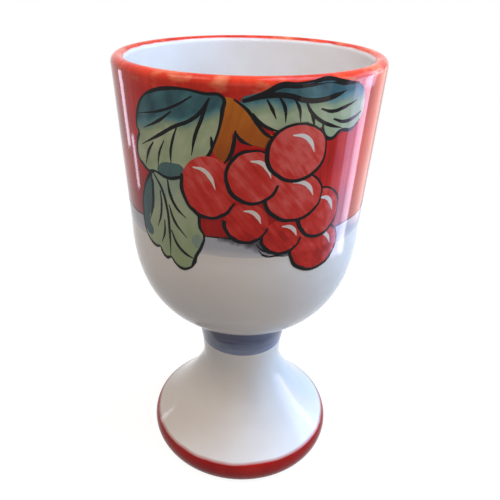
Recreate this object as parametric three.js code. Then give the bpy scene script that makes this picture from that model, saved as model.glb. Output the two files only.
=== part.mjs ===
// A hand-painted, tin-glazed earthenware chalice, standing on its foot ring at z = 0.
// The clay is thrown as two pieces, a bowl and a hollow pedestal, luted together with slip.
// A glaze coat covers the clay, and each colour zone of that coat is a ring of its own.
// Every curve is a function of its depth below the finished surface, so that the clay
// and the coat over it share their faces.

import * as THREE from 'three';

// Bowl, in millimetres
const height = 152.3;
const rimRadius = 42.5;
const wallThickness = 4.4;
const shoulderRadius = 39.9;
const shoulderHeight = 99.2;
const bowlDepth = 43.4;
const bowlFullness = 2.51; // exponent of the bowl's superellipse: 2 is an ellipse, more is squarer
const cupFullness = 3;
const floorThickness = 5.5;

// Collar, stem and foot
const collarRadius = 28.2;
const collarRise = 27;
const waistRadius = 15.2;
const waistPull = 7.9; // how far the waist's upright line carries down into the flare
const flareReach = 8.4; // how far the foot's slope carries up into the flare
const flareAngle = 0.62; // that slope, in radians below level
const footRadius = 36.3;
const footShoulder = 8.1; // height where the flare turns into the foot's rounded edge
const edgeTurn = Math.PI / 6; // the edge is an arc that turns this far above and below its middle
const edgeTuck = 2; // the foot ring stands this far inside the edge

// Foot ring and the hollow under the foot
const ringWidth = 4.5;
const hollowFullness = 1.4; // an exponent as for the bowl, nearer to a cone's 1
const stemFloor = 36.5; // solid clay between the hollow and the joint

// Glaze coat, its colour zones and the slip in the joint
const glazeThickness = 0.6;
const dryFoot = 1; // height of bare clay left at the foot ring
const lipBandWidth = 4;
const shadowMargin = 1.7; // the shadow band stops this far above the shoulder
const shadowWidth = 6.2; // and the red ground above it
const stemBandDrop = 0.4; // the stem band starts this far below the bowl
const stemBandLift = 8.1; // and stops this far above the waist
const slipRadius = 15;
const slipThickness = 1;

// Facets round the axis, and along each curve
const around = 32;
const lipSteps = 6;
const bowlSteps = 7;
const cupSteps = 7;
const collarSteps = 2;
const stemBandSteps = 5;
const waistSteps = 2;
const flareSteps = 8;
const edgeSteps = 4;
const hollowSteps = 7;

// Heights and radii that follow from the sizes above
const quarterTurn = Math.PI / 2;
const lipRadius = wallThickness / 2;
const lipCentreRadius = rimRadius - lipRadius;
const lipCentreHeight = height - lipRadius;
const lipBandFoot = lipCentreHeight - lipBandWidth;
const shadowFoot = shoulderHeight + shadowMargin;
const groundFoot = shadowFoot + shadowWidth;
const collarTop = bowlPoint(angleAtRadius(collarRadius, shoulderRadius), 0).y;
const jointHeight = collarTop + glazeThickness;
const waistHeight = collarTop - collarRise;
const bandTopAngle = collarAngle(collarTop - stemBandDrop);
const bandFootAngle = collarAngle(waistHeight + stemBandLift);
const edgeMiddle = (footShoulder + dryFoot) / 2;
const edgeRound = (footShoulder - edgeMiddle) / Math.sin(edgeTurn);
const ringOuterRadius = footRadius - edgeTuck;
const ringInnerRadius = ringOuterRadius - ringWidth;
const hollowHeight = jointHeight - stemFloor - dryFoot;

function point(radius, z) {
  return new THREE.Vector2(radius, z);
}

function sweep(count, from, to, place) {
  return Array.from({ length: count + 1 }, (_, i) => place(from + ((to - from) * i) / count));
}

// Angles on the bowl's curve run from a quarter turn at the shoulder to 0 on the axis
function bowlAngle(z, depth) {
  return Math.acos(((shoulderHeight - z) / depth) ** (bowlFullness / 2));
}

function angleAtRadius(radius, fullRadius) {
  return Math.asin((radius / fullRadius) ** (bowlFullness / 2));
}

function superellipse(angle, radius, reach, fullness) {
  const power = 2 / fullness;
  return point(radius * Math.sin(angle) ** power, reach * Math.cos(angle) ** power);
}

function bowlPoint(angle, inset) {
  const curve = superellipse(angle, shoulderRadius - inset, bowlDepth - inset, bowlFullness);
  return point(curve.x, shoulderHeight - curve.y);
}

function wallPoint(z, inset) {
  const rise = THREE.MathUtils.inverseLerp(shoulderHeight, lipCentreHeight, z);
  return point(THREE.MathUtils.lerp(shoulderRadius, rimRadius, rise) - inset, z);
}

// Angles on the collar run from a quarter turn under the bowl to 0 at the waist
function collarAngle(z) {
  return Math.asin((z - waistHeight) / collarRise);
}

function collarPoint(angle, inset) {
  const reach = collarRadius - waistRadius + inset;
  return point(collarRadius - reach * Math.cos(angle), waistHeight + (collarRise + inset) * Math.sin(angle));
}

function edgePoint(angle, inset) {
  const round = edgeRound - inset;
  return point(footRadius - edgeRound + round * Math.cos(angle), edgeMiddle + round * Math.sin(angle));
}

// The collar meets the bowl in a crease, which lies a coat higher on the clay
function creaseAngle(inset) {
  return bowlAngle(collarTop + inset, bowlDepth - inset);
}

// The zones of the outside, each running downwards at a depth below the finished surface
function lipPath(inset) {
  const lip = sweep(lipSteps, Math.PI, 0, (angle) => point(
    lipCentreRadius + (lipRadius - inset) * Math.cos(angle),
    lipCentreHeight + (lipRadius - inset) * Math.sin(angle),
  ));
  return [...lip, wallPoint(lipBandFoot, inset)];
}

function groundPath(inset) {
  return [wallPoint(lipBandFoot, inset), wallPoint(groundFoot, inset)];
}

function shadowPath(inset) {
  return [wallPoint(groundFoot, inset), wallPoint(shadowFoot, inset)];
}

function bowlPath(inset) {
  const curve = sweep(bowlSteps, quarterTurn, creaseAngle(inset), (angle) => bowlPoint(angle, inset));
  return [wallPoint(shadowFoot, inset), ...curve];
}

function collarPath(inset) {
  const curve = sweep(collarSteps, quarterTurn, bandTopAngle, (angle) => collarPoint(angle, inset));
  return [bowlPoint(creaseAngle(inset), inset), ...curve.slice(1)];
}

function stemBandPath(inset) {
  return sweep(stemBandSteps, bandTopAngle, bandFootAngle, (angle) => collarPoint(angle, inset));
}

function pedestalPath(inset) {
  const waist = sweep(waistSteps, bandFootAngle, 0, (angle) => collarPoint(angle, inset));
  const upright = point(waistRadius - inset, waistHeight - waistPull);
  const rim = edgePoint(edgeTurn, inset);
  const slope = point(rim.x - flareReach * Math.cos(flareAngle), rim.y + flareReach * Math.sin(flareAngle));
  const flare = new THREE.CubicBezierCurve(waist[waistSteps], upright, slope, rim);
  return [...waist, ...flare.getPoints(flareSteps).slice(1)];
}

function footEdgePath(inset) {
  return sweep(edgeSteps, edgeTurn, -edgeTurn, (angle) => edgePoint(angle, inset));
}

// The inside of the cup, from the lip down to the axis
function cupPath(inset) {
  const radius = shoulderRadius - wallThickness + inset;
  const depth = shoulderHeight - jointHeight - floorThickness + inset;
  const lip = point(lipCentreRadius - lipRadius + inset, lipCentreHeight);
  const curve = sweep(cupSteps, quarterTurn, 0, (angle) => superellipse(angle, radius, depth, cupFullness));
  return [lip, ...curve.map((place) => point(place.x, shoulderHeight - place.y))];
}

// The hollow of the foot, from the foot ring up to the axis; here the coat lies inwards of the clay
function hollowPath(inset) {
  const radius = ringInnerRadius - inset;
  const curve = sweep(hollowSteps, quarterTurn, 0, (angle) => (
    superellipse(angle, radius, hollowHeight - inset, hollowFullness)
  ));
  return curve.map((place) => point(place.x, dryFoot + place.y));
}

const backwards = (path) => [...path].reverse();

// A ring of coat between the finished surface and the clay, closed on itself
function coatOutside(path) {
  const outline = [...backwards(path(0)), ...path(glazeThickness)];
  return [...outline, outline[0]];
}

// A lining that reaches the axis: out along one face and back along the other
function coatInside(first, second) {
  return [...backwards(first), ...second];
}

function clayOutside(paths) {
  return paths.flatMap((path, zone) => path(glazeThickness).slice(zone ? 1 : 0));
}

// The bowl's base is trimmed flat where the pedestal is luted to it
function bowlOutline() {
  const outside = clayOutside([lipPath, groundPath, shadowPath, bowlPath]);
  return [point(0, jointHeight), ...backwards(outside), ...cupPath(glazeThickness).slice(1)];
}

// The pedestal's top is a flat seat round a shallow pocket for the slip
function pedestalOutline() {
  const outside = clayOutside([collarPath, stemBandPath, pedestalPath, footEdgePath]);
  const ring = [point(ringInnerRadius, 0), point(ringOuterRadius, 0)];
  return [...backwards(hollowPath(0)), ...ring, ...backwards(outside), ...backwards(slipPocket())];
}

function slipPocket() {
  const slipFoot = jointHeight - slipThickness;
  return [point(0, slipFoot), point(slipRadius, slipFoot), point(slipRadius, jointHeight)];
}

function slipOutline() {
  return [...slipPocket(), point(0, jointHeight)];
}

const chalice = new THREE.Group();
chalice.name = 'chalice';
chalice.rotation.x = quarterTurn; // a lathe turns about its own Y axis, which stands up here

function addPiece(name, outline, colour, roughness) {
  const material = new THREE.MeshStandardMaterial({ color: colour, roughness, metalness: 0 });
  const piece = new THREE.Mesh(new THREE.LatheGeometry(outline, around), material);
  piece.name = name;
  chalice.add(piece);
}

const dry = 0.9;
const glossy = 0.12;

addPiece('bowl_clay', bowlOutline(), '#c9a184', dry);
addPiece('pedestal_clay', pedestalOutline(), '#c9a184', dry);
addPiece('joint_slip', slipOutline(), '#b98d70', dry);

addPiece('lip_glaze', coatOutside(lipPath), '#c62f22', glossy);
addPiece('red_ground_glaze', coatOutside(groundPath), '#b01a17', glossy);
addPiece('shadow_band_glaze', coatOutside(shadowPath), '#8b90a3', glossy);
addPiece('bowl_glaze', coatOutside(bowlPath), '#e9e6e2', glossy);
addPiece('collar_glaze', coatOutside(collarPath), '#e9e6e2', glossy);
addPiece('stem_band_glaze', coatOutside(stemBandPath), '#5d6580', glossy);
addPiece('pedestal_glaze', coatOutside(pedestalPath), '#e9e6e2', glossy);
addPiece('foot_edge_glaze', coatOutside(footEdgePath), '#a3140f', glossy);

addPiece('cup_lining', coatInside(cupPath(glazeThickness), cupPath(0)), '#efeeec', glossy);
addPiece('foot_lining', coatInside(hollowPath(glazeThickness), hollowPath(0)), '#e9e6e2', glossy);

export default chalice;
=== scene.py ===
import bmesh
import bpy
import math
from mathutils import Euler, Matrix, Vector


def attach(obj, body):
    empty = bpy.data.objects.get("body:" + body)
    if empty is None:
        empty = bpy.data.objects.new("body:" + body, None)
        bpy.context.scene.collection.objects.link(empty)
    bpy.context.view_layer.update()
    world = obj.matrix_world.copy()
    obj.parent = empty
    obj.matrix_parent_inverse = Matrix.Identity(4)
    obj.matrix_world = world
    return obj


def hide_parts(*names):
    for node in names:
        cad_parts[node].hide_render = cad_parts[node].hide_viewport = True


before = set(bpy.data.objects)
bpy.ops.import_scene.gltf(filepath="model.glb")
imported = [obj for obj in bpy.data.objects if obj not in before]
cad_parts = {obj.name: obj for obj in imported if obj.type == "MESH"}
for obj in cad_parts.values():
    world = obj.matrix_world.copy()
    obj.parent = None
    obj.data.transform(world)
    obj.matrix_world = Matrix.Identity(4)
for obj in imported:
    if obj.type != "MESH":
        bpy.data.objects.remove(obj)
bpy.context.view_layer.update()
mm = 0.001
quarterTurn = math.pi / 2
print("frame loaded:", len(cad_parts), "nodes")

# The thrown shape, in millimetres and radians: the same curves as the solids, but turned finer
cup = dict(height=152.3, rimRadius=42.5, wall=4.4, shoulderRadius=39.9, shoulderHeight=99.2,
           depth=43.4, fullness=2.51, insideFullness=3.0, floor=5.5)
foot = dict(collarRadius=28.2, collarRise=27.0, waistRadius=15.2, waistPull=7.9, flareReach=8.4, flareAngle=0.62,
            radius=36.3, shoulder=8.1, edgeTurn=math.pi / 6, edgeTuck=2.0, ringWidth=4.5, hollowFullness=1.4,
            stemFloor=36.5)
coat = dict(thick=0.6, dryFoot=1.0, lipBand=4.0, shadowMargin=1.7, shadowWidth=6.2, bandDrop=0.4, bandLift=8.1)
joint = dict(slipRadius=15, slipThick=1)

# Steps round the wheel and along each curve, how near two points are one, and the degrees that still turn smooth
turning = dict(around=224, lip=22, ground=12, shadow=3, bowl=40, collar=5, stemBand=20, waist=8, flare=48,
               footEdge=16, inside=44, hollow=40, weld=0.0005, smooth=50)

lipRadius = cup["wall"] / 2
lipCentre = (cup["rimRadius"] - lipRadius, cup["height"] - lipRadius)
lipFoot = lipCentre[1] - coat["lipBand"]
shadowFoot = cup["shoulderHeight"] + coat["shadowMargin"]
groundFoot = shadowFoot + coat["shadowWidth"]


def sweep(count, start, end, place):
    return [place(start + (end - start) * i / count) for i in range(count + 1)]


def superellipse(angle, radius, reach, fullness):
    return (radius * max(math.sin(angle), 0) ** (2 / fullness), reach * max(math.cos(angle), 0) ** (2 / fullness))


# Angles on the bowl run from a quarter turn at the shoulder to 0 on the axis
def bowlAngle(z, depth):
    return math.acos(((cup["shoulderHeight"] - z) / depth) ** (cup["fullness"] / 2))


def bowlPoint(angle, inset):
    across, down = superellipse(angle, cup["shoulderRadius"] - inset, cup["depth"] - inset, cup["fullness"])
    return (across, cup["shoulderHeight"] - down)


def wallPoint(z, inset):
    rise = (z - cup["shoulderHeight"]) / (lipCentre[1] - cup["shoulderHeight"])
    return (cup["shoulderRadius"] + rise * (cup["rimRadius"] - cup["shoulderRadius"]) - inset, z)


collarShare = (foot["collarRadius"] / cup["shoulderRadius"]) ** (cup["fullness"] / 2)
collarTop = bowlPoint(math.asin(collarShare), 0)[1]
jointHeight = collarTop + coat["thick"]
waistHeight = collarTop - foot["collarRise"]
bandTopAngle = math.asin((foot["collarRise"] - coat["bandDrop"]) / foot["collarRise"])
bandFootAngle = math.asin(coat["bandLift"] / foot["collarRise"])
edgeMiddle = (foot["shoulder"] + coat["dryFoot"]) / 2
edgeRound = (foot["shoulder"] - edgeMiddle) / math.sin(foot["edgeTurn"])
ringOuter = foot["radius"] - foot["edgeTuck"]
ringInner = ringOuter - foot["ringWidth"]
hollowHeight = jointHeight - foot["stemFloor"] - coat["dryFoot"]


def creaseAngle(inset):
    return bowlAngle(collarTop + inset, cup["depth"] - inset)


# Angles on the collar run from a quarter turn under the bowl to 0 at the waist
def collarPoint(angle, inset):
    reach = foot["collarRadius"] - foot["waistRadius"] + inset
    return (foot["collarRadius"] - reach * math.cos(angle),
            waistHeight + (foot["collarRise"] + inset) * math.sin(angle))


def edgePoint(angle, inset):
    bend = edgeRound - inset
    return (foot["radius"] - edgeRound + bend * math.cos(angle), edgeMiddle + bend * math.sin(angle))


def bezier(a, b, c, d, count):
    def place(t):
        s = 1 - t
        weights = (s ** 3, 3 * s * s * t, 3 * s * t * t, t ** 3)
        return tuple(sum(w * p[axis] for w, p in zip(weights, (a, b, c, d))) for axis in (0, 1))
    return sweep(count, 0, 1, place)


# Outlines of the colour zones, each running downwards at a depth below the finished surface
def lipPath(inset):
    lip = sweep(turning["lip"], math.pi, 0, lambda angle: (lipCentre[0] + (lipRadius - inset) * math.cos(angle),
                                                           lipCentre[1] + (lipRadius - inset) * math.sin(angle)))
    return lip + [wallPoint(lipFoot, inset)]


def groundPath(inset):
    return sweep(turning["ground"], lipFoot, groundFoot, lambda z: wallPoint(z, inset))


def shadowPath(inset):
    return sweep(turning["shadow"], groundFoot, shadowFoot, lambda z: wallPoint(z, inset))


def bowlPath(inset):
    curve = sweep(turning["bowl"], quarterTurn, creaseAngle(inset), lambda angle: bowlPoint(angle, inset))
    return [wallPoint(shadowFoot, inset)] + curve


def collarPath(inset):
    curve = sweep(turning["collar"], quarterTurn, bandTopAngle, lambda angle: collarPoint(angle, inset))
    return [bowlPoint(creaseAngle(inset), inset)] + curve[1:]


def stemBandPath(inset):
    return sweep(turning["stemBand"], bandTopAngle, bandFootAngle, lambda angle: collarPoint(angle, inset))


def pedestalPath(inset):
    waist = sweep(turning["waist"], bandFootAngle, 0, lambda angle: collarPoint(angle, inset))
    upright = (foot["waistRadius"] - inset, waistHeight - foot["waistPull"])
    rim = edgePoint(foot["edgeTurn"], inset)
    slope = (rim[0] - foot["flareReach"] * math.cos(foot["flareAngle"]),
             rim[1] + foot["flareReach"] * math.sin(foot["flareAngle"]))
    return waist + bezier(waist[-1], upright, slope, rim, turning["flare"])[1:]


def footEdgePath(inset):
    return sweep(turning["footEdge"], foot["edgeTurn"], -foot["edgeTurn"], lambda angle: edgePoint(angle, inset))


# The inside of the cup, from the lip to the axis, and the hollow of the foot, from its ring to the axis
def cupPath(inset):
    depth = cup["shoulderHeight"] - jointHeight - cup["floor"] + inset
    radius = cup["shoulderRadius"] - cup["wall"] + inset
    curve = sweep(turning["inside"], quarterTurn, 0,
                  lambda angle: superellipse(angle, radius, depth, cup["insideFullness"]))
    lip = (lipCentre[0] - lipRadius + inset, lipCentre[1])
    return [lip] + [(across, cup["shoulderHeight"] - down) for across, down in curve]


def hollowPath(inset):
    radius, tall = ringInner - inset, hollowHeight - inset
    curve = sweep(turning["hollow"], quarterTurn, 0,
                  lambda angle: superellipse(angle, radius, tall, foot["hollowFullness"]))
    return [(across, coat["dryFoot"] + up) for across, up in curve]


def linear(hexColour):
    channels = [int(hexColour[i:i + 2], 16) / 255 for i in (1, 3, 5)]
    return [c / 12.92 if c <= 0.04045 else ((c + 0.055) / 1.055) ** 2.4 for c in channels] + [1]


def addNode(tree, kind, inputs=None, stops=None, **settings):
    node = tree.nodes.new("ShaderNode" + kind)
    for name, value in settings.items():
        setattr(node, name, value)
    for name, value in (inputs or {}).items():
        if isinstance(value, bpy.types.NodeSocket):
            tree.links.new(value, node.inputs[name])
        else:
            node.inputs[name].default_value = value
    if stops:
        ramp = node.color_ramp.elements
        while len(ramp) < len(stops):
            ramp.new(1)
        for stop, (place, hexColour) in zip(ramp, stops):
            stop.position = place
            stop.color = linear(hexColour)
    return node


# How the finishes shine; the specular level is low, because all the room that the glaze mirrors is white
gloss = dict(ior=1.5, whiteSpecular=0.15, colourSpecular=0.14, claySpecular=0.3,
             whiteRoughness=0.1, colourRoughness=0.08, clayRoughness=0.85, thinRoughness=0.07, thickRoughness=0.14,
             whiteRipple=0.1, colourRipple=0.12, rippleDepth=0.12)


def newFinish(name, roughness, specular):
    material = bpy.data.materials.new(name)
    material.use_nodes = True
    tree = material.node_tree
    shader = tree.nodes["Principled BSDF"]
    shader.inputs["Roughness"].default_value = roughness
    shader.inputs["IOR"].default_value = gloss["ior"]
    shader.inputs["Specular IOR Level"].default_value = specular
    place = addNode(tree, "TexCoord").outputs["Object"]
    return material, tree, shader, place


# Sizes of a pattern in millimetres, along each axis
def patternScale(*sizes):
    return [1 / (size * mm) for size in sizes]


# Glaze flows out level but never dead flat: a shallow ripple about 5 mm long
def addRipple(tree, shader, place, strength):
    spread = addNode(tree, "Mapping", {"Vector": place, "Scale": patternScale(5, 5, 8)})
    ripple = addNode(tree, "TexNoise", {"Vector": spread.outputs["Vector"], "Scale": 1, "Detail": 1})
    bump = addNode(tree, "Bump", {"Height": ripple.outputs["Fac"], "Strength": strength,
                                  "Distance": gloss["rippleDepth"] * mm})
    tree.links.new(bump.outputs["Normal"], shader.inputs["Normal"])


# Tin-glazed white: creamy and glossy, faintly cloudier where the coat is thicker;
# beside a painted edge the next colour can bleed into it for a millimetre or so
def makeWhiteGlaze(name, thin, thick, bleed=None):
    material, tree, shader, place = newFinish(name, gloss["whiteRoughness"], gloss["whiteSpecular"])
    cloudSize = addNode(tree, "Mapping", {"Vector": place, "Scale": patternScale(16, 16, 11)})
    cloud = addNode(tree, "TexNoise", {"Vector": cloudSize.outputs["Vector"], "Scale": 1, "Detail": 3})
    sheen = addNode(tree, "MapRange", {"Value": cloud.outputs["Fac"], "To Min": gloss["thinRoughness"],
                                       "To Max": gloss["thickRoughness"]})
    colour = addNode(tree, "ValToRGB", {"Fac": cloud.outputs["Fac"]}, stops=[(0.3, thin), (0.7, thick)])
    if bleed:
        edge, reach = bleed["edge"], bleed["reach"]
        blotSize = addNode(tree, "Mapping", {"Vector": place, "Scale": patternScale(12, 12, 12)})
        blot = addNode(tree, "TexNoise", {"Vector": blotSize.outputs["Vector"], "Scale": 1, "Detail": 1})
        height = addNode(tree, "SeparateXYZ", {"Vector": place})
        wander = addNode(tree, "Math", {0: blot.outputs["Fac"], 1: -reach * mm, 2: height.outputs["Z"]},
                         operation="MULTIPLY_ADD")
        amount = addNode(tree, "MapRange", {"Value": wander.outputs["Value"], "From Min": (edge + reach / 2) * mm,
                                            "From Max": (edge - reach / 2) * mm})
        colour = addNode(tree, "MixRGB", {"Fac": amount.outputs["Result"], "Color1": colour.outputs["Color"],
                                          "Color2": linear(bleed["colour"])})
    tree.links.new(colour.outputs["Color"], shader.inputs["Base Color"])
    tree.links.new(sheen.outputs["Result"], shader.inputs["Roughness"])
    addRipple(tree, shader, place, gloss["whiteRipple"])
    return material


# Red brushed on by hand: overlapping strokes, painted shade darkening it towards the bottom of the red ground, dabs
# that thin out warm over the lip, and white where the brush stopped short at its inner radius;
# the foot lies wholly in the darkened part, so its red is only evenly deeper
redBrush = dict(lipDeep="#d02a15", lipBright="#ee4226", lipLift=0.5, thin="#f28a60", poolAndLowShade="#8c0808", lowShadeShare=0.6,
                lowShadeHeight=16, poolMix=0.55, bare="#efecea", bareBlur=0.4, bareWander=0.5, lipReach=1.7)


def makeRedGlaze(name, strokes, inner, deep, middle, bright):
    material, tree, shader, place = newFinish(name, gloss["colourRoughness"], gloss["colourSpecular"])
    strokeSize = addNode(tree, "Mapping", {"Vector": place, "Rotation": (0.15, 0.2, 0),
                                           "Scale": patternScale(*strokes)})
    stroke = addNode(tree, "TexNoise", {"Vector": strokeSize.outputs["Vector"], "Scale": 1, "Detail": 4})
    poolSize = addNode(tree, "Mapping", {"Vector": place, "Scale": patternScale(9, 9, 14)})
    poolAndLowShade = addNode(tree, "TexNoise", {"Vector": poolSize.outputs["Vector"], "Scale": 1, "Detail": 2})
    wash = addNode(tree, "MixRGB", {"Fac": redBrush["poolMix"], "Color1": stroke.outputs["Fac"],
                                    "Color2": poolAndLowShade.outputs["Fac"]})
    red = addNode(tree, "ValToRGB", {"Fac": wash.outputs["Color"]},
                  stops=[(0.36, deep), (0.5, middle), (0.66, bright)])
    dabSize = addNode(tree, "Mapping", {"Vector": place, "Scale": patternScale(6, 6, 3)})
    dab = addNode(tree, "TexNoise", {"Vector": dabSize.outputs["Vector"], "Scale": 1, "Detail": 3})
    height = addNode(tree, "SeparateXYZ", {"Vector": place})
    rise = addNode(tree, "MapRange", {"Value": height.outputs["Z"], "From Min": (lipFoot + redBrush["lipLift"]) * mm,
                                      "From Max": (lipCentre[1] + redBrush["lipLift"]) * mm})
    orange = addNode(tree, "ValToRGB", {"Fac": wash.outputs["Color"]},
                     stops=[(0.38, redBrush["lipDeep"]), (0.6, redBrush["lipBright"])])
    warm = addNode(tree, "MixRGB", {"Fac": rise.outputs["Result"], "Color1": red.outputs["Color"],
                                    "Color2": orange.outputs["Color"]})
    gap = addNode(tree, "ValToRGB", {"Fac": dab.outputs["Fac"]}, stops=[(0.5, "#000000"), (0.74, "#ffffff")])
    thin = addNode(tree, "Math", {0: rise.outputs["Result"], 1: gap.outputs["Color"]}, operation="MULTIPLY")
    brushed = addNode(tree, "MixRGB", {"Fac": thin.outputs["Value"], "Color1": warm.outputs["Color"],
                                       "Color2": linear(redBrush["thin"])})
    # Painted shade: the red darkens towards the bottom of the red ground, and the whole foot by the same share
    lowShade = addNode(tree, "MapRange", {"Value": height.outputs["Z"], "To Max": redBrush["lowShadeShare"],
                                       "From Min": (groundFoot + redBrush["lowShadeHeight"]) * mm,
                                       "From Max": groundFoot * mm})
    lowShaded = addNode(tree, "MixRGB", {"Fac": lowShade.outputs["Result"], "Color1": brushed.outputs["Color"],
                                      "Color2": linear(redBrush["poolAndLowShade"])})
    level = addNode(tree, "CombineXYZ", {"X": height.outputs["X"], "Y": height.outputs["Y"]})
    radius = addNode(tree, "VectorMath", {0: level.outputs["Vector"]}, operation="LENGTH")
    stop = addNode(tree, "Math", {0: dab.outputs["Fac"], 1: redBrush["bareWander"] * mm, 2: radius.outputs["Value"]},
                   operation="MULTIPLY_ADD")
    bare = addNode(tree, "MapRange", {"Value": stop.outputs["Value"], "From Min": (inner + redBrush["bareBlur"]) * mm,
                                      "From Max": inner * mm})
    colour = addNode(tree, "MixRGB", {"Fac": bare.outputs["Result"], "Color1": lowShaded.outputs["Color"],
                                      "Color2": linear(redBrush["bare"])})
    tree.links.new(colour.outputs["Color"], shader.inputs["Base Color"])
    addRipple(tree, shader, place, gloss["colourRipple"])
    return material


# Thin cobalt-grey wash, darker at the top, that breaks up towards its lower edge, where the white shows through;
# on the stem band the dark top is painted shade under the bowl and the pale lower part a painted reflection of the
# white foot
def makeBandWash(name, low, top, dark, pale):
    material, tree, shader, place = newFinish(name, gloss["whiteRoughness"], gloss["whiteSpecular"])
    strokeSize = addNode(tree, "Mapping", {"Vector": place, "Scale": patternScale(9, 9, 1.4)})
    stroke = addNode(tree, "TexNoise", {"Vector": strokeSize.outputs["Vector"], "Scale": 1, "Detail": 4})
    height = addNode(tree, "SeparateXYZ", {"Vector": place})
    rise = addNode(tree, "MapRange", {"Value": height.outputs["Z"], "From Min": low * mm, "From Max": top * mm})
    amount = addNode(tree, "MixRGB", {"Fac": 0.3, "Color1": rise.outputs["Result"], "Color2": stroke.outputs["Fac"]})
    colour = addNode(tree, "ValToRGB", {"Fac": amount.outputs["Color"]},
                     stops=[(0.12, pale), (0.45, dark), (0.8, dark)])
    tree.links.new(colour.outputs["Color"], shader.inputs["Base Color"])
    addRipple(tree, shader, place, gloss["whiteRipple"])
    return material


# Bare biscuit-fired clay on the foot ring: matt, sandy, grains of about 0.4 mm
def makeClay(name, pale, dark):
    material, tree, shader, place = newFinish(name, gloss["clayRoughness"], gloss["claySpecular"])
    grainSize = addNode(tree, "Mapping", {"Vector": place, "Scale": patternScale(0.4, 0.4, 0.4)})
    grain = addNode(tree, "TexNoise", {"Vector": grainSize.outputs["Vector"], "Scale": 1, "Detail": 3})
    colour = addNode(tree, "ValToRGB", {"Fac": grain.outputs["Fac"]}, stops=[(0.35, dark), (0.65, pale)])
    bump = addNode(tree, "Bump", {"Height": grain.outputs["Fac"], "Strength": 0.5, "Distance": 0.1 * mm})
    tree.links.new(colour.outputs["Color"], shader.inputs["Base Color"])
    tree.links.new(bump.outputs["Normal"], shader.inputs["Normal"])
    return material


# Painter's wash: one colour runs into the next at the height called middle, along a sloping edge that wanders,
# and the brush leaves streaks of the given sizes, turned in the plane of the front
def makePaintWash(name, streak, turn, slope, middle, blur, wander, stops, brushShare=0.45):
    material, tree, shader, place = newFinish(name, gloss["colourRoughness"], gloss["colourSpecular"])
    streakSize = addNode(tree, "Mapping", {"Vector": place, "Rotation": (0, turn, 0),
                                           "Scale": [size * mm for size in streak]}, vector_type="TEXTURE")
    brush = addNode(tree, "TexNoise", {"Vector": streakSize.outputs["Vector"], "Scale": 1, "Detail": 2})
    blotSize = addNode(tree, "Mapping", {"Vector": place, "Scale": patternScale(6, 6, 5)})
    blot = addNode(tree, "TexNoise", {"Vector": blotSize.outputs["Vector"], "Scale": 1, "Detail": 2})
    side = addNode(tree, "SeparateXYZ", {"Vector": place})
    tilt = addNode(tree, "Math", {0: side.outputs["X"], 1: slope, 2: side.outputs["Z"]}, operation="MULTIPLY_ADD")
    edge = addNode(tree, "Math", {0: blot.outputs["Fac"], 1: wander * mm, 2: tilt.outputs["Value"]},
                   operation="MULTIPLY_ADD")
    run = addNode(tree, "MapRange", {"Value": edge.outputs["Value"], "From Min": (middle + wander / 2 - blur) * mm,
                                     "From Max": (middle + wander / 2 + blur) * mm})
    amount = addNode(tree, "MixRGB", {"Fac": brushShare, "Color1": run.outputs["Result"],
                                      "Color2": brush.outputs["Fac"]})
    colour = addNode(tree, "ValToRGB", {"Fac": amount.outputs["Color"]}, stops=stops)
    tree.links.new(colour.outputs["Color"], shader.inputs["Base Color"])
    addRipple(tree, shader, place, gloss["colourRipple"])
    return material


# Turns an outline on the wheel: one point is drawn along it by extruding, then spun about the axis
def turnPiece(name, outline, closed):
    bpy.ops.object.select_all(action="DESELECT")
    bpy.ops.mesh.primitive_plane_add(size=mm)
    piece = bpy.context.object
    piece.name = name
    bpy.ops.object.mode_set(mode="EDIT")
    bpy.ops.mesh.select_all(action="SELECT")
    bpy.ops.mesh.merge(type="CENTER")
    bpy.ops.transform.translate(value=(outline[0][0] * mm, 0, outline[0][1] * mm))
    for before, after in zip(outline, outline[1:]):
        step = ((after[0] - before[0]) * mm, 0, (after[1] - before[1]) * mm)
        bpy.ops.mesh.extrude_region_move(TRANSFORM_OT_translate={"value": step})
    if closed:
        mesh = bmesh.from_edit_mesh(piece.data)
        mesh.verts.ensure_lookup_table()
        for vertex in mesh.verts:
            vertex.select_set(vertex.index in (0, len(mesh.verts) - 1))
        mesh.select_flush_mode()
        bpy.ops.mesh.edge_face_add()
    bpy.ops.mesh.select_all(action="SELECT")
    bpy.ops.mesh.spin(steps=turning["around"], angle=2 * math.pi, center=(0, 0, 0), axis=(0, 0, 1))
    bpy.ops.mesh.select_all(action="SELECT")
    bpy.ops.mesh.remove_doubles(threshold=turning["weld"] * mm)
    bpy.ops.mesh.normals_make_consistent(inside=False)
    bpy.ops.object.mode_set(mode="OBJECT")
    bpy.ops.object.shade_smooth_by_angle(angle=math.radians(turning["smooth"]))
    return piece


def dress(piece, finish, slot, *nodes):
    piece.data.materials.clear()
    piece.data.materials.append(finish)
    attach(piece, "root")
    if nodes:
        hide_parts(*nodes)


# The cup's red is brushed upright and the foot's round and round; the foot's white is a lighter copy of the same
# glaze, painted light on the foot
whiteGlaze = makeWhiteGlaze("tinWhiteGlaze", "#ebe7e4", "#f2efed")
footGlazeLit = makeWhiteGlaze("tinWhiteFootLit", "#f4f1ee", "#faf8f6",
                           bleed=dict(edge=foot["shoulder"], reach=0.9, colour="#b8110c"))
redGlaze = makeRedGlaze("brushedRedGlaze", (2, 2, 16), lipCentre[0] - redBrush["lipReach"],
                        "#b00b0b", "#d01410", "#e62d1f")
footRed = makeRedGlaze("footRedGlaze", (14, 14, 5), ringInner, "#b40d0a", "#d01610", "#e42c1e")
shadowWash = makeBandWash("shadowWash", shadowFoot, groundFoot, "#bcbfcb", "#dcdcdf")
# Stem band: painted shade, darker under the bowl, and a painted reflection of the white foot, paler low down
stemShadedWash = makeBandWash("stemBandShadedWash", waistHeight + coat["bandLift"], collarTop, "#5f6785", "#9aa6c4")
clay = makeClay("biscuitClay", "#d2b59d", "#b8957b")
slip = makeClay("jointSlip", "#c3a087", "#a37d63")

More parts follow.
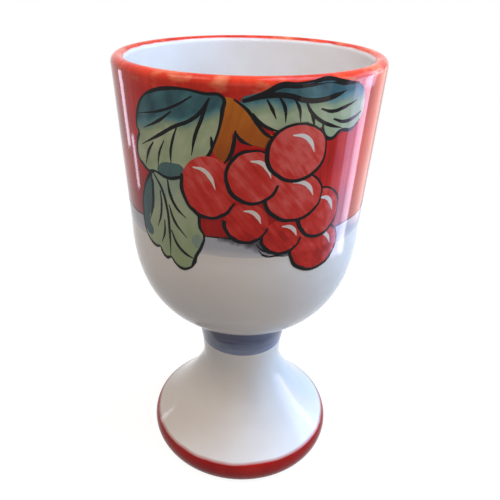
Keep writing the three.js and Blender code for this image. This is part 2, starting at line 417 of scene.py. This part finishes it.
zones = dict(lipGlaze=(lipPath, redGlaze, "red_glaze", "lip_glaze"),
             redGround=(groundPath, redGlaze, "red_glaze", "red_ground_glaze"),
             shadowBand=(shadowPath, shadowWash, "shadow_glaze", "shadow_band_glaze"),
             bowlGlaze=(bowlPath, whiteGlaze, "white_glaze", "bowl_glaze"),
             collarGlaze=(collarPath, whiteGlaze, "white_glaze", "collar_glaze"),
             stemBand=(stemBandPath, stemShadedWash, "stem_band_glaze", "stem_band_glaze"),
             pedestalGlaze=(pedestalPath, footGlazeLit, "white_glaze", "pedestal_glaze"),
             footEdge=(footEdgePath, footRed, "red_glaze", "foot_edge_glaze"))
for name, (path, finish, slot, node) in zones.items():
    dress(turnPiece(name, path(0)[::-1] + path(coat["thick"]), True), finish, slot, node)
linings = dict(cupLining=(cupPath, "cup_lining"), footLining=(hollowPath, "foot_lining"))
for name, (path, node) in linings.items():
    dress(turnPiece(name, path(coat["thick"])[::-1] + path(0), False), whiteGlaze, "white_glaze", node)

# The pedestal's clay, from the pocket for the slip down its side, across the foot ring and up into the hollow
pedestalSide = [p for path in (collarPath, stemBandPath, pedestalPath, footEdgePath) for p in path(coat["thick"])]
pedestalSide = [p for i, p in enumerate(pedestalSide)
                if not i or math.dist(p, pedestalSide[i - 1]) > turning["weld"]]
slipFoot = jointHeight - joint["slipThick"]
pedestalTop = [(0, slipFoot), (joint["slipRadius"], slipFoot), (joint["slipRadius"], jointHeight)]
pedestalOutline = pedestalTop + pedestalSide + [(ringOuter, 0), (ringInner, 0)] + hollowPath(0)
dress(turnPiece("pedestalClay", pedestalOutline, False), clay, "earthenware", "pedestal_clay")

# Clay and slip that the coats hide keep the solids' own shape
for node, finish in dict(bowl_clay=clay, joint_slip=slip).items():
    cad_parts[node].data.materials.clear()
    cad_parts[node].data.materials.append(finish)
print("pot turned")


# Painted ornament: a bunch of berries under leaves, laid out flat in millimetres (across from the front, up from
# the table), then bent round the wall at the girth's radius; layers of paint lie one above the other
paint = dict(girth=41.0, layer=0.012, film=0.12, slice=1.0, weld=0.001, smooth=40, shapeSteps=8, lineSteps=10)


def wallRadius(up):
    if up > lipCentre[1]:
        return lipCentre[0] + math.sqrt(max(lipRadius ** 2 - (up - lipCentre[1]) ** 2, 0))
    if up >= cup["shoulderHeight"]:
        return wallPoint(up, 0)[0]
    return bowlPoint(bowlAngle(up, cup["depth"]), 0)[0]


# Bends a flat painted film round the wall and gives it the thickness of a coat of enamel
def layOnWall(piece):
    for vertex in piece.data.vertices:
        across, up, lift = vertex.co / mm
        angle = across / paint["girth"]
        radius = wallRadius(up) + lift
        vertex.co = (radius * math.sin(angle) * mm, -radius * math.cos(angle) * mm, up * mm)
    bpy.ops.object.select_all(action="DESELECT")
    piece.select_set(True)
    bpy.context.view_layer.objects.active = piece
    film = piece.modifiers.new("film", "SOLIDIFY")
    film.thickness = paint["film"] * mm
    film.offset = -1
    bpy.ops.object.modifier_apply(modifier=film.name)
    bpy.ops.object.shade_smooth_by_angle(angle=math.radians(paint["smooth"]))


# Cuts a flat film into narrow strips, so that it can follow the round wall
def sliceFilm(piece):
    bpy.ops.object.mode_set(mode="EDIT")
    bpy.ops.mesh.select_all(action="SELECT")
    bpy.ops.mesh.quads_convert_to_tris()
    corners = [vertex.co / mm for vertex in bmesh.from_edit_mesh(piece.data).verts]
    for axis, direction in ((0, (1, 0, 0)), (1, (0, 1, 0))):
        low, high = min(c[axis] for c in corners), max(c[axis] for c in corners)
        for i in range(1, int((high - low) / paint["slice"]) + 1):
            place = [d * (low + i * paint["slice"]) * mm for d in direction]
            bpy.ops.mesh.select_all(action="SELECT")
            bpy.ops.mesh.bisect(plane_co=place, plane_no=direction)
    bpy.ops.object.mode_set(mode="OBJECT")


# A closed smooth outline through a few points, filled
def paintShape(name, outline, layer):
    bpy.ops.object.select_all(action="DESELECT")
    bpy.ops.curve.primitive_bezier_circle_add(radius=mm)
    shape = bpy.context.object
    shape.name = name
    shape.data.splines.clear()
    spline = shape.data.splines.new("BEZIER")
    spline.bezier_points.add(len(outline) - 1)
    for point, (across, up) in zip(spline.bezier_points, outline):
        point.co = (across * mm, up * mm, 0)
        point.handle_left_type = point.handle_right_type = "AUTO"
    spline.use_cyclic_u = True
    spline.resolution_u = paint["shapeSteps"]
    shape.data.dimensions = "3D"
    bpy.ops.object.convert(target="MESH")
    shape = bpy.context.object
    bpy.ops.object.mode_set(mode="EDIT")
    bpy.ops.mesh.select_all(action="SELECT")
    bpy.ops.mesh.remove_doubles(threshold=paint["weld"] * mm)
    bpy.ops.mesh.edge_face_add()
    bpy.ops.transform.translate(value=(0, 0, layer * paint["layer"] * mm))
    bpy.ops.mesh.normals_make_consistent(inside=False)
    bpy.ops.object.mode_set(mode="OBJECT")
    if shape.data.polygons[0].normal.z < 0:
        shape.data.flip_normals()
    sliceFilm(shape)
    return shape


# Brush lines: the layer each lies on, whether it closes, and its points with the brush's half width there;
# a stroke starts lightly and ends in a point
brushLines = []
ink = dict(start=0.45, end=0.2, leafWidth=0.42, leafSwell=0.14, leafPace=1.9, leafLift=2)
inkLayer = dict(shade=2, hanging=4, upper=7)


def addStrokes(layer, strokes):
    for width, *points in strokes:
        last = len(points) - 1
        press = [width * (ink["start"] if i == 0 else ink["end"] if i == last else 1) for i in range(last + 1)]
        brushLines.append((layer, False, [(across, up, w) for (across, up), w in zip(points, press)]))


# Draws all the lines with one flat brush tip, swept along each line
def paintLines(name, lines):
    bpy.ops.object.select_all(action="DESELECT")
    bpy.ops.curve.primitive_bezier_curve_add(radius=mm)
    brush = bpy.context.object
    brush.data.splines.clear()
    tip = brush.data.splines.new("POLY")
    tip.points.add(2)
    for point, across in zip(tip.points, (-mm, 0, mm)):
        point.co = (across, 0, 0, 1)
    bpy.ops.object.select_all(action="DESELECT")
    bpy.ops.curve.primitive_bezier_curve_add(radius=mm)
    drawing = bpy.context.object
    drawing.name = name
    drawing.data.splines.clear()
    drawing.data.dimensions = "3D"
    drawing.data.twist_mode = "Z_UP"
    drawing.data.bevel_mode = "OBJECT"
    drawing.data.bevel_object = brush
    for layer, joined, points in lines:
        line = drawing.data.splines.new("BEZIER")
        line.bezier_points.add(len(points) - 1)
        line.use_cyclic_u = joined
        line.resolution_u = paint["lineSteps"]
        for point, (across, up, width) in zip(line.bezier_points, points):
            point.co = (across * mm, up * mm, layer * paint["layer"] * mm)
            point.radius = width
            point.handle_left_type = point.handle_right_type = "AUTO"
    bpy.ops.object.convert(target="MESH")
    drawing = bpy.context.object
    bpy.data.objects.remove(brush)
    if sum(face.normal.z for face in drawing.data.polygons) < 0:
        drawing.data.flip_normals()
    layOnWall(drawing)
    return drawing


# Leaves and stalk, with the soft dabs that shade them, drawn
leafLeft = [(-7, 147.2), (-7.2, 144), (-8, 139.5), (-9.5, 135), (-11.5, 131), (-14.5, 127.8), (-18, 125.2),
            (-21, 123.8), (-24, 123.2), (-29.5, 124.2), (-31.5, 123.6), (-34, 125), (-35.9, 126.6), (-36.2, 129.5),
            (-35.3, 132.5), (-34.3, 134.2), (-35.1, 136.2), (-34.5, 139.2), (-33, 142.5), (-30.5, 145.2),
            (-27.5, 146.8), (-22.5, 148.2), (-17, 148.6), (-12, 148)]
leafHanging = [(-29.5, 124), (-31.8, 122), (-34.2, 118.5), (-36.2, 114), (-37.1, 109), (-37.1, 104.5), (-36.2, 101.5),
               (-34, 99.5), (-31.2, 98.8), (-30, 99.2), (-28.6, 97.3), (-26.8, 96.3), (-25.2, 97), (-23.5, 95.3),
               (-21, 94.2), (-18.6, 94.9), (-16.8, 96.6), (-15.9, 99.5), (-14, 103.2), (-13, 107), (-14.2, 109.6),
               (-14.5, 114), (-18, 120), (-20, 124.5)]
leafRight = [(-2.8, 146.3), (0.6, 143.2), (2.6, 140.6), (7.5, 138.4), (13, 139), (17, 138.6), (19.3, 139),
             (20.2, 136.3), (22.3, 135.6), (25.3, 137.2), (28, 137), (30.6, 137.7), (32.7, 139.2), (33.7, 142),
             (33.4, 145.5), (32, 148.2), (29, 149.6), (24, 150.4), (19, 150.9), (12, 150.6), (6, 150.2), (2, 148.8)]
stalk = [(-7.2, 147), (-4.2, 146.9), (-1.4, 145), (1, 141.5), (3.2, 138.6), (6.6, 137), (5.4, 134.8), (1, 135.1),
         (-2.6, 136.2), (-3.9, 138.5), (-4.8, 135), (-5.2, 132), (-6.4, 130.4), (-9, 131.6), (-9.8, 134.5), (-8, 140)]
leafShade = [(-27.6, 124.4), (-24, 123.6), (-20.8, 124.2), (-18.4, 125.8), (-18.8, 127.5), (-22, 128), (-26.4, 126.9)]
leafSliver = [(-30.7, 122), (-30.7, 116), (-31.7, 112), (-33.8, 107.2), (-32.4, 104), (-33.4, 102), (-36.2, 103),
              (-36.8, 108), (-36, 113.6), (-34, 118.2), (-32, 121.6)]
berryShade = [(-9, 106.6), (-4, 106.7), (2, 106.7), (6, 106.2), (10, 105), (13.5, 103.4), (15, 101.8), (13, 100.9),
              (9.5, 100.9), (6, 101.4), (3.4, 102.2), (0.4, 103.2), (-4, 104.2), (-8, 105.2)]
leafDab = [(-17, 105.4), (-16.4, 103.2), (-14.8, 102.6), (-13.7, 104.2), (-13.8, 106.4), (-15.4, 107.2)]

# Copper green let down with water: teal where the brush was full, pale sage where it ran dry
tealToSage = [(0.14, "#c0ccab"), (0.3, "#a0b48e"), (0.46, "#86a295"),
              (0.62, "#5a8f97"), (0.72, "#497982"), (0.86, "#325865")]
leafUpper = makePaintWash("leafWashUpper", streak=(4, 4, 8), turn=0.7, slope=-0.28,
                          middle=145.4, blur=2.2, wander=5, stops=tealToSage)
leafPale = makePaintWash("leafWashRight", streak=(4, 4, 8), turn=-0.9, slope=-0.04,
                         middle=144.8, blur=1.8, wander=4, stops=tealToSage)
leafLower = makePaintWash("leafWashHanging", streak=(3, 3, 9), turn=-0.3, slope=-0.6, middle=124, blur=10, wander=12,
                          stops=[(0.2, "#9bb085"), (0.4, "#a9ba95"), (0.62, "#b4c2a3"), (0.8, "#9cb3a1")])

# Dabs over the green: a dense teal that darkens a fold, and a thin misty one
leafTeal = makePaintWash("leafTealDab", streak=(1.4, 1.4, 8), turn=0.2, slope=0, middle=112, blur=20, wander=12,
                         stops=[(0.2, "#38565f"), (0.5, "#43666c"), (0.8, "#567a78")])
leafMist = makePaintWash("leafMistDab", streak=(1.4, 1.4, 8), turn=0.2, slope=0, middle=112, blur=20, wander=12,
                         stops=[(0.2, "#84998c"), (0.5, "#92a699"), (0.8, "#9fb1a3")])

# Smudged black over the grey band: sooty near the berries, gone a few millimetres lower
shadeWash = makePaintWash("berryShadeWash", streak=(1.6, 1.6, 3), turn=0.4, slope=0.32,
                          middle=104.4, blur=1.3, wander=2.2,
                          stops=[(0.3, "#bcbfcb"), (0.46, "#989aa6"), (0.64, "#6e6f78"), (0.82, "#4c4b51")])

# Iron ochre on the stalk: warm and translucent, streaked along its length
ochre = makePaintWash("ochreWash", streak=(1.3, 1.3, 8), turn=0.3, slope=0, middle=139, blur=9, wander=6,
                      stops=[(0.2, "#a8520a"), (0.5, "#bf6512"), (0.8, "#cf7a20")])

# Berry red, thinner than the ground's: long slanting streaks let the white through as pink
berryRed = makePaintWash("berryWash", streak=(1.5, 1.5, 15), turn=-0.7, slope=0.25, middle=118, blur=26, wander=60,
                         stops=[(0.3, "#b5130d"), (0.43, "#d4271b"), (0.55, "#dc3a31"), (0.7, "#e8605a")],
                         brushShare=0.58)

# Manganese black of the outlines: dense, and browner where the brush ran dry
lineBlack = makePaintWash("manganeseLine", streak=(0.8, 0.8, 5), turn=0, slope=0, middle=125, blur=30, wander=6,
                          stops=[(0.2, "#0b0c10"), (0.6, "#101116"), (0.9, "#1f1a1c")])

# Touches of thick white for the light on the berries, a little warm where the red grins through
highlight = makePaintWash("whiteTouch", streak=(0.5, 0.5, 3), turn=0.7, slope=0, middle=120, blur=30, wander=6,
                          stops=[(0.2, "#e0d5cf"), (0.5, "#ece5df"), (0.8, "#f4efea")])

# Each film's outline, layer and finish, and whether the brush goes all round it in black
films = dict(berryShade=(berryShade, 1, shadeWash, False), leafHanging=(leafHanging, 2, leafLower, True),
             leafSliver=(leafSliver, 3, leafTeal, False), leafDab=(leafDab, 3, leafMist, False),
             stalk=(stalk, 4, ochre, False), leafLeft=(leafLeft, 5, leafUpper, True),
             leafShade=(leafShade, 6, leafTeal, False), leafRight=(leafRight, 5, leafPale, False))
for name, (outline, layer, finish, inked) in films.items():
    film = paintShape(name, outline, layer)
    layOnWall(film)
    dress(film, finish, "shadow_glaze")
    if inked:
        swell = [ink["leafWidth"] + ink["leafSwell"] * math.sin(ink["leafPace"] * i) for i in range(len(outline))]
        brushLines.append((layer + ink["leafLift"], True, [(a, u, w) for (a, u), w in zip(outline, swell)]))
print("leaves painted")

# Strokes: the brush's half width, then the points it passes; first the upper leaf's veins, from the stalk outwards
addStrokes(inkLayer["upper"], [
    (0.5, (-10.4, 147), (-12.8, 143.2), (-16, 140.6), (-20.5, 138.5), (-26, 135.2), (-33.2, 131.2)),
    (0.5, (-10.6, 146.6), (-12.6, 141.5), (-14.6, 136.5), (-15.8, 131.2)),
    (0.36, (-15, 147), (-19.5, 144.3), (-25, 142), (-33.4, 140)),
    (0.46, (-21.2, 142.4), (-25.6, 139.3), (-31.8, 136.2)),
    (0.4, (-19.8, 138.5), (-21.4, 134.5), (-22.3, 131), (-22.4, 127.6)),
    (0.36, (-24.3, 134), (-26.4, 130), (-27.3, 125.8)),
    (0.5, (-28.4, 132.8), (-30.8, 129.5), (-32.5, 125.4)),
    (0.5, (-10.2, 137), (-10, 135), (-10.4, 132.6))])

# Veins of the hanging leaf
addStrokes(inkLayer["hanging"], [
    (0.5, (-30.6, 123), (-30.6, 117), (-31.4, 112.5), (-33.7, 107)),
    (0.46, (-29.6, 123.4), (-26.8, 119.4), (-25.2, 113), (-25, 106), (-25.3, 97.4)),
    (0.4, (-27.4, 118.6), (-27.4, 114), (-28.2, 110), (-30, 106)),
    (0.4, (-26.6, 109.4), (-27.2, 104.6), (-28.8, 101)),
    (0.5, (-24.2, 122.6), (-23.7, 118.6), (-21.8, 114.6), (-18.6, 111.8)),
    (0.5, (-24.4, 114.8), (-22.7, 109.8), (-18.8, 105.4)),
    (0.5, (-24.3, 106.6), (-22.2, 102), (-19.6, 99.8), (-16.3, 98.6)),
    (0.7, (-15.6, 100.6), (-16.5, 97.6), (-17.6, 95.8))])

# Outline and veins of the right leaf, whose top stroke runs up on to the lip
addStrokes(inkLayer["upper"], [
    (0.75, (-2.4, 146.6), (2.8, 148.3), (7, 150.4), (11, 150.3), (15, 150.6), (19.5, 151.2), (24, 150.2), (30, 149.4)),
    (0.7, (-2.2, 146.4), (4, 148), (9, 147.8), (13.4, 146.5), (18, 146.3), (22, 147), (25.4, 148)),
    (0.46, (0.2, 143.6), (2.4, 141), (4.4, 139.7), (8, 138.6)),
    (0.5, (19, 140.2), (19.6, 137.4), (21, 135.9), (22.6, 135.6), (25.3, 137.3), (29.4, 137), (33, 139.4)),
    (0.5, (13.4, 146.4), (15.4, 143.2), (18, 141), (21.5, 139.3), (25.6, 138)),
    (0.46, (3.6, 147), (5, 144.5), (6.1, 142)),
    (0.5, (6.6, 147.6), (8.1, 145), (8.6, 141)),
    (0.46, (10.6, 146.8), (11.9, 144.6), (12.5, 141)),
    (0.46, (14.8, 144), (16, 141.4), (16.6, 139.4)),
    (0.5, (18, 144), (21.5, 143), (25.5, 143.6), (30, 144.9)),
    (0.5, (22.2, 140.9), (26, 139.7), (30, 140.2), (32.8, 141.5))])

# Lines of the stalk, and scribbled shade under the berries
addStrokes(inkLayer["upper"], [
    (0.46, (-4.4, 147), (-1, 144.3), (1.5, 140.8), (4, 138), (6.8, 136.6)),
    (0.55, (-3.9, 139), (-4.3, 135.6), (-5.2, 132.2), (-7, 129.7)),
    (0.55, (-3.9, 138.4), (-2.4, 136.4), (0.4, 135.1))])
addStrokes(inkLayer["shade"], [
    (0.3, (2.4, 105.6), (4.2, 103.6), (6.2, 102.8), (8.6, 102.4)),
    (0.26, (3.2, 103.6), (4.6, 102), (6.4, 101.6)),
    (0.26, (4.2, 101.8), (6.2, 101.2), (8.6, 101.4), (11.4, 101))])

# Black line under the red ground, all the way round, with the tremble of a hand on the wheel
groundLine = dict(points=48, layer=1, tremble=0.14, tremblePace=2.3, width=0.24, swell=0.1, swellPace=1.7)
edge = [(paint["girth"] * (2 * math.pi * i / groundLine["points"] - math.pi),
         groundFoot + groundLine["tremble"] * math.sin(groundLine["tremblePace"] * i),
         groundLine["width"] + groundLine["swell"] * math.sin(groundLine["swellPace"] * i))
        for i in range(groundLine["points"] + 1)]
edge[-1] = (edge[-1][0], edge[0][1], edge[0][2])
brushLines.append((groundLine["layer"], False, edge))

# Berries, from the bottom of the heap to the top: centre, half width, half height, the degrees between which
# the brush outlined them, and how far the touch of light is moved across, in half widths
berries = dict(lowRight=(21.8, 102.2, 8.8, 7.5, 165, 415, 0), lowMiddle=(9.9, 107.6, 6.1, 5.5, 172, 352, 0.1),
               lowLeft=(-0.6, 112.4, 6.3, 6.2, 175, 345, 0), right=(21.6, 113.7, 7.1, 7.7, 180, 462, 0),
               left=(-11.3, 122.4, 8, 9.1, 160, 335, -0.4), middle=(12.8, 119.9, 8.5, 7.2, 178, 425, 0),
               centre=(0.9, 126.2, 7.2, 7.6, 55, 342, 0), top=(12.5, 132.8, 8.3, 7.9, 75, 440, -0.1))
berryLook = dict(sides=72, bottomLayer=8, layersEach=3, linePoints=14, lineWidth=0.43, press=0.16, pressSide=3.9,
                 swell=0.07, swellPace=5, tremble=0.012, tremblePace=2.6)
lightTouch = [(-0.12, 0.62, 0.16), (0.26, 0.56, 0.6), (0.5, 0.34, 0.62), (0.66, -0.02, 0.08)]
touches = []
rounds = []
for i, (across, up, wide, tall, start, end, shift) in enumerate(berries.values()):
    layer = berryLook["bottomLayer"] + berryLook["layersEach"] * i
    bpy.ops.object.select_all(action="DESELECT")
    bpy.ops.mesh.primitive_circle_add(vertices=berryLook["sides"], radius=mm, fill_type="NGON")
    berry = bpy.context.object
    bpy.ops.object.mode_set(mode="EDIT")
    bpy.ops.mesh.select_all(action="SELECT")
    bpy.ops.transform.resize(value=(wide, tall, 1))
    bpy.ops.transform.translate(value=(across * mm, up * mm, layer * paint["layer"] * mm))
    bpy.ops.object.mode_set(mode="OBJECT")
    sliceFilm(berry)
    rounds.append(berry)
    ring = []
    for k, angle in enumerate(sweep(berryLook["linePoints"], math.radians(start), math.radians(end), float)):
        press = berryLook["lineWidth"] + berryLook["press"] * math.cos(angle - berryLook["pressSide"])
        press += berryLook["swell"] * math.sin(berryLook["swellPace"] * k + i)
        tremble = 1 + berryLook["tremble"] * math.sin(berryLook["tremblePace"] * k + 2 * i)
        ring.append((across + wide * tremble * math.cos(angle), up + tall * tremble * math.sin(angle), press))
    brushLines.append((layer + 1, False, ring))
    touches.append((layer + 2, False, [(across + (a + shift) * wide, up + u * tall, w) for a, u, w in lightTouch]))
bpy.ops.object.select_all(action="DESELECT")
for berry in rounds:
    berry.select_set(True)
bpy.context.view_layer.objects.active = rounds[0]
bpy.ops.object.join()
bunch = bpy.context.object
bunch.name = "berryBunch"
layOnWall(bunch)
dress(bunch, berryRed, "red_glaze")
dress(paintLines("brushOutlines", brushLines), lineBlack, "shadow_glaze")
dress(paintLines("berryLights", touches), highlight, "white_glaze")
print("ornament painted")

# Camera at the photograph's place, in millimetres and radians; focal length in pixels of a 500 pixel frame
eye = dict(place=(-4.56, -178.55, 177.74), tip=0.4916, roll=0.0136, focal=545.2, frame=500, sensor=36, shift=0.0367,
           near=10)
bpy.ops.object.camera_add(location=[value * mm for value in eye["place"]])
camera = bpy.context.object
turn = Euler((quarterTurn - eye["tip"], 0, 0)).to_matrix() @ Matrix.Rotation(eye["roll"], 3, "Z")
camera.rotation_euler = turn.to_euler()
camera.data.sensor_width = eye["sensor"]
camera.data.lens = eye["sensor"] * eye["focal"] / eye["frame"]
camera.data.shift_x = eye["shift"]
camera.data.clip_start = eye["near"] * mm
bpy.context.scene.camera = camera

# Soft studio light: broad boxes above, in front and at the sides, and upright strips beside the pot
# that are seen only as its reflections; places in millimetres, power in watts
softboxes = dict(
    overhead=dict(place=(0, 20, 640), aim=(0, 0, 60), size=(560, 560), power=0.4, colour="#fff1e2"),
    warmWindow=dict(place=(-270, -120, 590), aim=(0, 0, 40), size=(260, 260), power=1.3, colour="#ffecdc"),
    rightWindow=dict(place=(380, 60, 200), aim=(0, 0, 90), size=(260, 300), power=1.3, colour="#a4d0ff"),
    rightFront=dict(place=(280, -230, 110), aim=(0, 0, 120), size=(160, 200), power=0.17, colour="#fff0e4"),
    frontFill=dict(place=(-20, -420, 220), aim=(0, 0, 90), size=(260, 260), power=0.28, colour="#fff0e2"),
    cupLight=dict(place=(110, -30, 400), aim=(-10, 5, 115), size=(170, 170), power=0.92, colour="#c8e0ff"))
strips = dict(
    rightStrip=dict(place=(190, 30, 74), aim=(0, -10, 74), size=(34, 140), power=0.067, colour="#ece6ff"),
    rightSoft=dict(place=(189, 12, 78), aim=(0, -10, 78), size=(70, 150), power=0.192, colour="#dacdff"),
    rightFaint=dict(place=(189, -28, 78), aim=(0, -10, 78), size=(60, 150), power=0.067, colour="#dacdff"),
    rightGlow=dict(place=(191, 96, 80), aim=(0, -10, 80), size=(150, 150), power=0.15, colour="#ffbcb0"),
    sideWindow=dict(place=(300, 150, 175), aim=(20, 0, 20), size=(130, 170), power=0.168, colour="#e6f0ff"),
    leftStrip=dict(place=(-190, 104, 88), aim=(0, -10, 88), size=(24, 58), power=0.024, colour="#efe8ff"),
    leftLow=dict(place=(-190, 66, 54), aim=(0, -10, 54), size=(15, 36), power=0.013, colour="#efe8ff"))
for name, box in (softboxes | strips).items():
    bpy.ops.object.light_add(type="AREA", location=[value * mm for value in box["place"]])
    lamp = bpy.context.object
    lamp.name = name
    lamp.data.shape = "RECTANGLE"
    lamp.data.size, lamp.data.size_y = (value * mm for value in box["size"])
    lamp.data.energy = box["power"]
    lamp.data.color = linear(box["colour"])[:3]
    lamp.visible_camera = False
    lamp.visible_diffuse = name in softboxes
    toward = Vector(box["aim"]) - Vector(box["place"])
    lamp.rotation_euler = toward.to_track_quat("-Z", "Y").to_euler()

# Pale floor and surroundings: white to the eye and in the glaze, with the pot's shadow kept
stageLook = dict(size=0.6, drop=0.05, floor="#7c7c7c", lift=0.91, white="#ffffff", sky="#f4f0ea", skyLight=0.12)


# 1 for rays from the camera and for those that the glaze mirrors, which show the white, and 0 for light on the pot
def seenWhite(tree):
    ray = addNode(tree, "LightPath")
    mirror = addNode(tree, "Math", {0: ray.outputs["Is Glossy Ray"], 1: ray.outputs["Is Transmission Ray"]},
                     operation="MAXIMUM")
    return addNode(tree, "Math", {0: ray.outputs["Is Camera Ray"], 1: mirror.outputs["Value"]},
                   operation="MAXIMUM").outputs["Value"]


world = bpy.data.worlds.new("paleRoom")
bpy.context.scene.world = world
world.use_nodes = True
sky = world.node_tree
light = addNode(sky, "Background", {"Color": linear(stageLook["sky"]), "Strength": stageLook["skyLight"]})
white = addNode(sky, "Background", {"Color": linear(stageLook["white"]), "Strength": 1})
both = addNode(sky, "MixShader", {"Fac": seenWhite(sky), 1: light.outputs["Background"],
                                  2: white.outputs["Background"]})
sky.links.new(both.outputs["Shader"], sky.nodes["World Output"].inputs["Surface"])

bpy.ops.mesh.primitive_plane_add(size=stageLook["size"], location=(0, 0, -stageLook["drop"] * mm))
floor = bpy.context.object
floor.name = "paleFloor"
floorFinish = bpy.data.materials.new("paleFloorPaint")
floorFinish.use_nodes = True
tree = floorFinish.node_tree
tree.nodes.remove(tree.nodes["Principled BSDF"])
matt = addNode(tree, "BsdfDiffuse", {"Color": linear(stageLook["floor"])})
glow = addNode(tree, "Emission", {"Color": linear(stageLook["white"]), "Strength": stageLook["lift"]})
lifted = addNode(tree, "AddShader", {0: matt.outputs["BSDF"], 1: glow.outputs["Emission"]})
both = addNode(tree, "MixShader", {"Fac": seenWhite(tree), 1: matt.outputs["BSDF"], 2: lifted.outputs["Shader"]})
tree.links.new(both.outputs["Shader"], tree.nodes["Material Output"].inputs["Surface"])
floor.data.materials.append(floorFinish)
bpy.context.scene.view_settings.view_transform = "Standard"
print("stage set")
